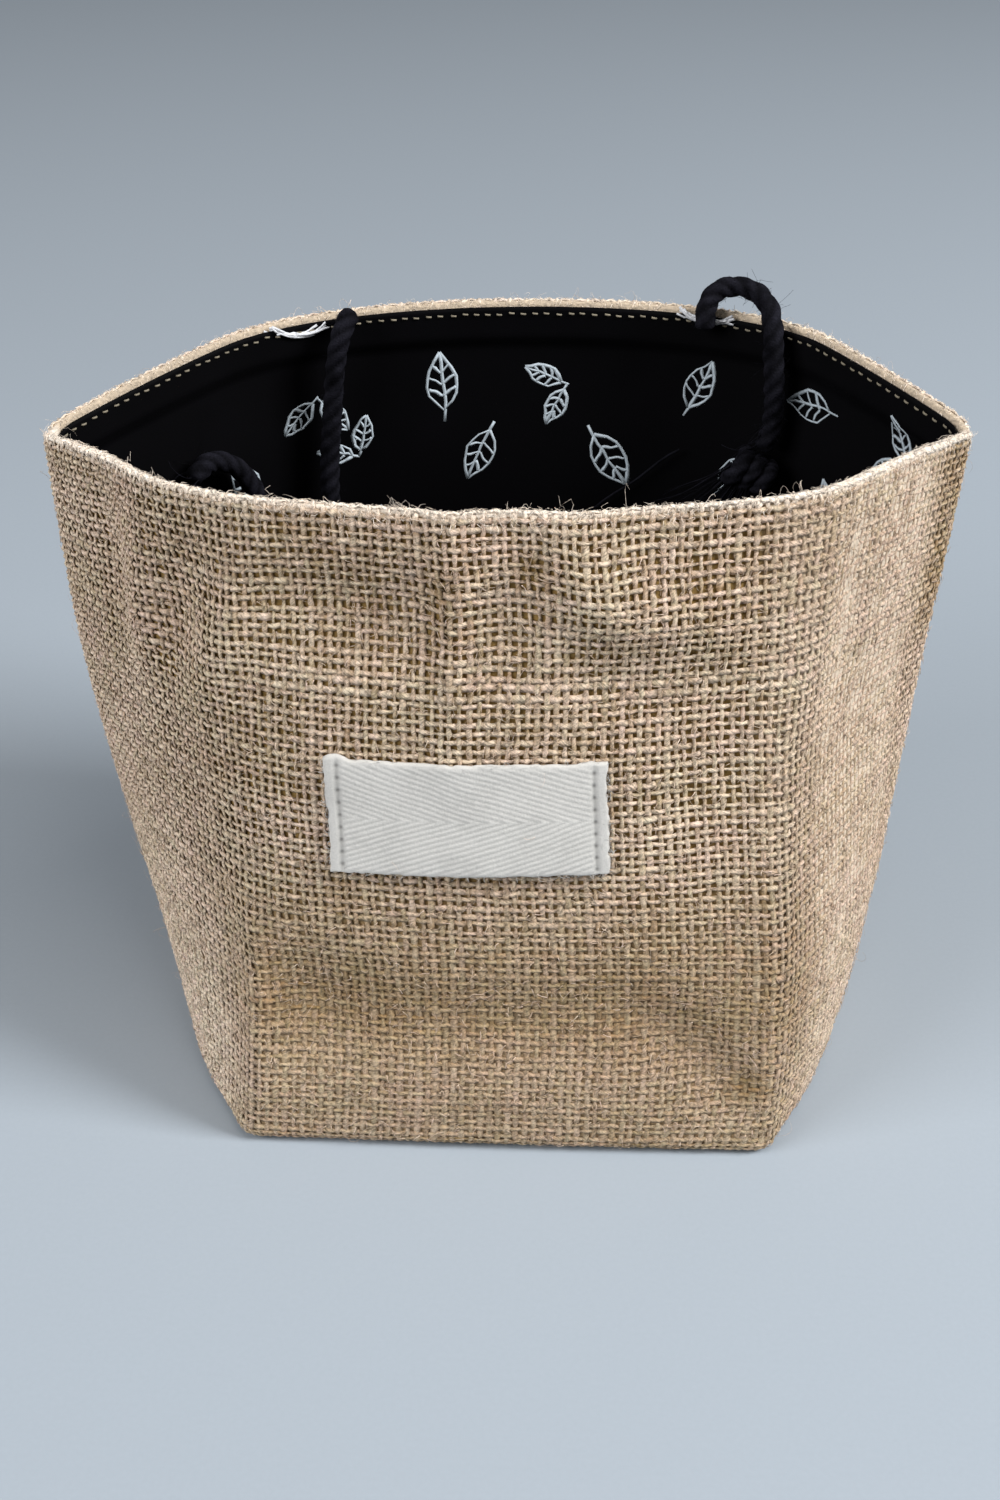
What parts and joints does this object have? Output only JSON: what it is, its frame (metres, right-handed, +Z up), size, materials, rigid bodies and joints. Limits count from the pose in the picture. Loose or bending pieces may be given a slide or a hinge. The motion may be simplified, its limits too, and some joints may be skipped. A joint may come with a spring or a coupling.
{
  "type": "burlap storage bag",
  "caption": "Small lined burlap bag with a boxed flat base that stands open, with a blank sewn-on tape label and cord ties inside its back wall.",
  "frame": {"origin": "middle of the flat base, on the surface it stands on", "axes": "+Z up out of the mouth, +X along the mouth from one seam to the other, to the right of someone who faces the label; -Y is the label side"},
  "size_m": [0.2032, 0.1366, 0.1581],
  "materials": {
    "burlap": "plain-woven natural jute burlap, light tan, coarse and slightly fuzzy, with darker gaps between the threads",
    "lining": "black plain cotton, matt, with a small white line print",
    "tape": "off-white cotton herringbone tape, matt",
    "cord": "black plied cotton cord, soft and matt, frayed at its ends"
  },
  "bodies": {
    "root": {"burlap_shell": "burlap", "cotton_lining": "lining", "tape_label": "tape", "tie_left": "cord", "tie_right": "cord", "tassel_left": "cord", "tassel_right": "cord"}
  },
  "joints": []
}
